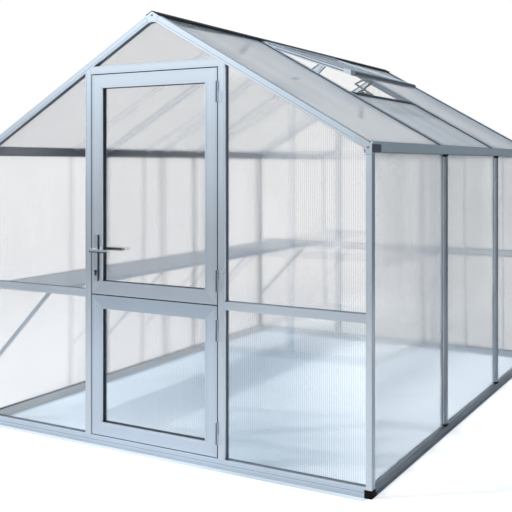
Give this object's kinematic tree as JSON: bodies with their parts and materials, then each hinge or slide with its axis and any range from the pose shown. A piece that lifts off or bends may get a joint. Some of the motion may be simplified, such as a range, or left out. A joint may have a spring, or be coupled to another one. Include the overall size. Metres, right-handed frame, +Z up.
{
  "type": "greenhouse",
  "caption": "Gable-roofed greenhouse in twin-wall polycarbonate on an aluminium frame, with a split stable door, an open roof vent and a staging shelf.",
  "frame": {"origin": "on the ground at the middle of the overall box, which the door lever reaches out of at the front", "axes": "+X to the right when facing the door, +Y from the door gable to the rear gable, +Z up"},
  "size_m": [2.404, 3.297, 2.2656],
  "materials": {
    "frame_metal": "mill finish, satin, pale blue-silver",
    "shelf_metal": "mill finish, satin",
    "polycarbonate": "clear twin-wall sheet with fine internal ribs",
    "black_plastic": "moulded, satin black",
    "ridge_trim": "dark grey, satin",
    "opener_metal": "grey, satin",
    "door_furniture": "satin metal"
  },
  "bodies": {
    "frame": {"gable_sills": "frame_metal", "side_sills": "frame_metal", "base_corner_blocks": "black_plastic", "corner_posts": "frame_metal", "wall_studs": "frame_metal", "stud_caps": "black_plastic", "eave_rails": "frame_metal", "gutters": "frame_metal", "gutter_end_caps": "black_plastic", "gable_rafters": "frame_metal", "apex_gussets": "frame_metal", "eave_gussets": "frame_metal", "door_posts": "frame_metal", "door_header": "frame_metal", "front_mid_rails": "frame_metal", "rear_mullions": "frame_metal", "rear_cross_rails": "frame_metal", "ridge_beam": "frame_metal", "ridge_cap": "ridge_trim", "roof_bars": "frame_metal", "vent_frame": "frame_metal", "vent_pane": "polycarbonate", "vent_sill_rail": "frame_metal", "vent_opener": "opener_metal", "vent_stay": "frame_metal", "front_panes": "polycarbonate", "rear_panes": "polycarbonate", "left_wall_panes": "polycarbonate", "right_wall_panes": "polycarbonate", "left_roof_panes": "polycarbonate", "right_roof_panes": "polycarbonate", "shelf_panel": "shelf_metal", "shelf_rails": "shelf_metal", "shelf_struts": "shelf_metal", "hinge_pins": "frame_metal"},
    "upper_leaf": {"upper_leaf_stiles": "frame_metal", "upper_leaf_rails": "frame_metal", "upper_leaf_pane": "polycarbonate", "upper_hinge_knuckles": "frame_metal", "lock_plates": "door_furniture"},
    "lower_leaf": {"lower_leaf_stiles": "frame_metal", "lower_leaf_rails": "frame_metal", "lower_leaf_pane": "polycarbonate", "lower_hinge_knuckles": "frame_metal"},
    "lever": {"lever_handle": "door_furniture"}
  },
  "joints": [
    {"name": "upper_leaf_hinge", "type": "hinge", "parent": "frame", "child": "upper_leaf", "pos_m": [0.39425, -1.5975, 1.37], "axis": [0, 0, 1], "range_deg": [0, 160]},
    {"name": "lower_leaf_hinge", "type": "hinge", "parent": "frame", "child": "lower_leaf", "pos_m": [0.39425, -1.5975, 0.42], "axis": [0, 0, 1], "range_deg": [0, 160]},
    {"name": "lever_turn", "type": "hinge", "parent": "upper_leaf", "child": "lever", "pos_m": [-0.3595, -1.573, 1.03], "axis": [0, 1, 0], "range_deg": [0, 40], "stiffness_Nm_per_rad": 1.5, "springref_deg": -20.05}
  ]
}
